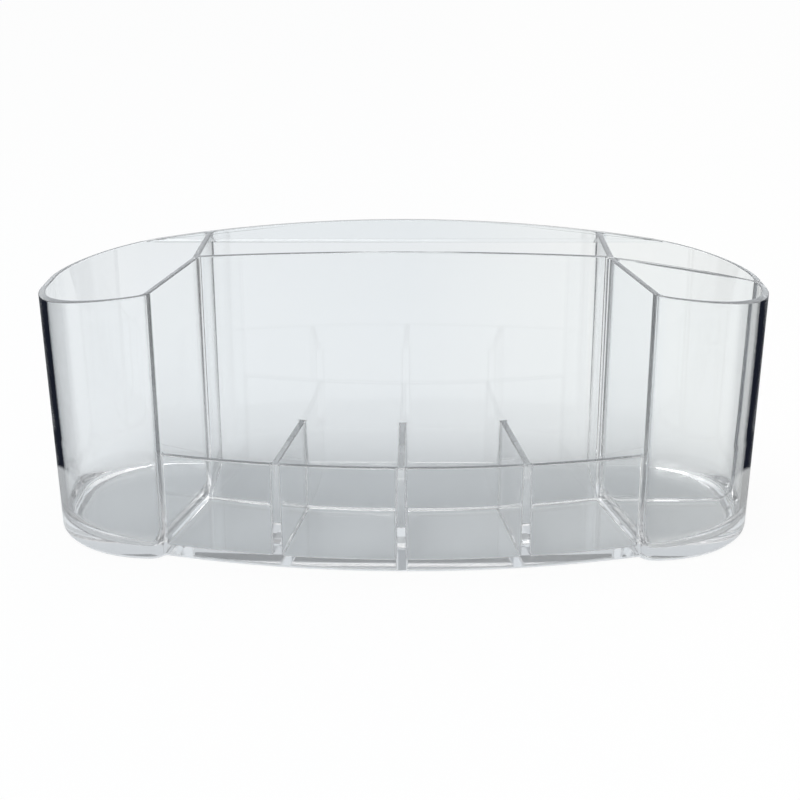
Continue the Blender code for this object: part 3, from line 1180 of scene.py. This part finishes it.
def room(tree):
    """Colour of what reflections see: backdrop, dim wall, darker front, bright lamp overhead, and
    painted shade after many reflections.
    """
    direction = tree.parts(tree.add("TexCoord", {}).outputs["Generated"])
    over_backdrop = tree.ramp(direction["Z"], *BACKDROP_TOP)
    once = tree.math("LESS_THAN", tree.ray("Glossy Depth"), 1 + HALF_A_REFLECTION)
    dim = tree.math("MULTIPLY", over_backdrop, once)
    colour = tree.mix_colours(dim, BACKDROP, DIM_WALL)
    colour = tree.mix_colours(tree.ramp(direction["Y"], *ROOM_FRONT), colour, FRONT_ROOM)
    colour = tree.mix_colours(tree.ramp(direction["Z"], *ROOM_TOP), colour, WHITE)
    # Painted shade, partly loss in the plastic: rays reflected many times inside the plastic see
    # the room darkened
    return tree.mix_colours(lost_and_painted_shade(tree), colour, LOSS_AND_PAINTED_SHADE)


def make_world():
    """Soft even light, seen as plain white, and as a pale backdrop through the plastic."""
    world = bpy.data.worlds.new("studio")
    tree = Nodes(world)
    light = tree.glow("Background", WHITE, SKY_LIGHT)
    backdrop = tree.glow("Background", BACKDROP)
    mirrored = tree.glow("Background", room(tree))
    white = tree.glow("Background", WHITE)
    seen = tree.mix_shaders(reflected(tree), backdrop, mirrored)
    surface = tree.mix_shaders(seen_in_plastic(tree), light, seen)
    surface = tree.mix_shaders(tree.ray("Is Camera Ray"), surface, white)
    tree.add("OutputWorld", {"Surface": surface})
    bpy.context.scene.world = world


def beside_sweep(tree, position):
    """1 on the floor beside the pale sweep, which starts at the organizer and gets wider."""
    parts = tree.parts(position)
    wider = tree.math("ADD", tree.math("MULTIPLY", parts["Y"], SWEEP_FLARE), SWEEP_HALF)
    half = tree.math("MAXIMUM", wider, SWEEP_HALF)
    across = tree.math("ABSOLUTE", parts["X"])
    beside = tree.ramp(tree.math("SUBTRACT", across, half), 0.0, SWEEP_EDGE)
    return tree.math("MULTIPLY", beside, tree.ramp(parts["Y"], *SWEEP_START))


def away_from_ends(tree, position):
    """1 on the floor away from the organizer's ends, and NEAR_SHARE close to them."""
    folded = tree.add("VectorMath", {0: position}, operation="ABSOLUTE").outputs["Vector"]
    places = {0: folded, 1: SIDE_FROM}
    away = tree.add("VectorMath", places, operation="DISTANCE").outputs["Value"]
    return tree.math("MAXIMUM", tree.ramp(away, *SIDE_REACH), NEAR_SHARE)


def ground_surface(tree):
    """Pale floor with painted light, paler on the right; white to the camera, and dark beside the
    sweep where the plastic mirrors it.
    """
    position = tree.add("NewGeometry", {}).outputs["Position"]
    # Painted light: the floor is painted paler towards the organizer's right
    painted_light = tree.ramp(tree.parts(position)["X"], *PAINTED_LIGHT_FROM)
    colour = tree.mix_colours(painted_light, GROUND_COLOUR, PAINTED_LIGHT_SIDE)
    surface = tree.add("BsdfDiffuse", {"Color": colour}).outputs["BSDF"]
    in_plastic = seen_in_plastic(tree)
    share = tree.math("MULTIPLY", in_plastic, BACKDROP_SHARE)
    surface = tree.mix_shaders(share, surface, tree.glow("Emission", BACKDROP))

    side = tree.math("MULTIPLY", beside_sweep(tree, position), away_from_ends(tree, position))
    side = tree.math("MULTIPLY", side, reflected(tree))
    # Painted shade, partly loss in the plastic: rays reflected many times inside the plastic see
    # the floor dark, as beside the sweep
    share = tree.math("MULTIPLY", in_plastic, tree.math("MAXIMUM", side, lost_and_painted_shade(tree)))
    surface = tree.mix_shaders(share, surface, tree.glow("Emission", DARK_SIDE_AND_PAINTED_SHADE))

    share = tree.math("MULTIPLY", tree.ray("Is Camera Ray"), WHITE_SHARE)
    return tree.mix_shaders(share, surface, tree.glow("Emission", WHITE))


def make_ground():
    """Pale floor, painted a little paler on the organizer's right as if lit more there, that
    keeps the organizer's soft shadow.
    """
    corners = box_plan(-GROUND_HALF, GROUND_HALF, -GROUND_HALF, GROUND_HALF)
    material = bpy.data.materials.new("pale_ground")
    tree = Nodes(material)
    tree.add("OutputMaterial", {"Surface": ground_surface(tree)})
    points = [(x, y, GROUND_Z) for x, y in corners]
    add_object("ground", new_mesh("ground", points, [(0, 1, 2, 3)], [material]))


def make_lamp():
    """Large soft lamp above and ahead."""
    data = bpy.data.lights.new("lamp", "AREA")
    data.shape = "DISK"
    data.size = LAMP_SIZE
    data.energy = LAMP_POWER
    lamp = add_object("lamp", data)
    lamp.location = LAMP_PLACE
    lamp.rotation_euler = (-LAMP_PLACE).to_track_quat("-Z", "Y").to_euler()


def make_camera():
    """Camera where the photograph was taken from."""
    data = bpy.data.cameras.new("camera")
    data.sensor_width = SENSOR
    data.lens = FOCAL_PIXELS * SENSOR / PHOTO_WIDTH
    data.clip_start = CLIP_START
    data.clip_end = CLIP_END
    camera = add_object("camera", data)
    yaw = Matrix.Rotation(-CAMERA_YAW, 3, "Z")
    pitch = Matrix.Rotation(math.pi / 2 - CAMERA_PITCH, 3, "X")
    roll = Matrix.Rotation(CAMERA_ROLL, 3, "Z")
    camera.matrix_world = Matrix.Translation(CAMERA_PLACE) @ (yaw @ pitch @ roll).to_4x4()
    bpy.context.scene.camera = camera


def allow_long_ways():
    """Let light be followed for as long as the walls lead it on, up to a limit."""
    cycles = bpy.context.scene.cycles
    cycles.max_bounces = BOUNCES
    cycles.transmission_bounces = BOUNCES
    cycles.glossy_bounces = BOUNCES
    cycles.transparent_max_bounces = SEE_THROUGH_BOUNCES


make_camera()
make_world()
make_ground()
make_lamp()
make_pieces([make_plastic(), make_joint()])
allow_long_ways()
bpy.context.scene.view_settings.view_transform = "Standard"
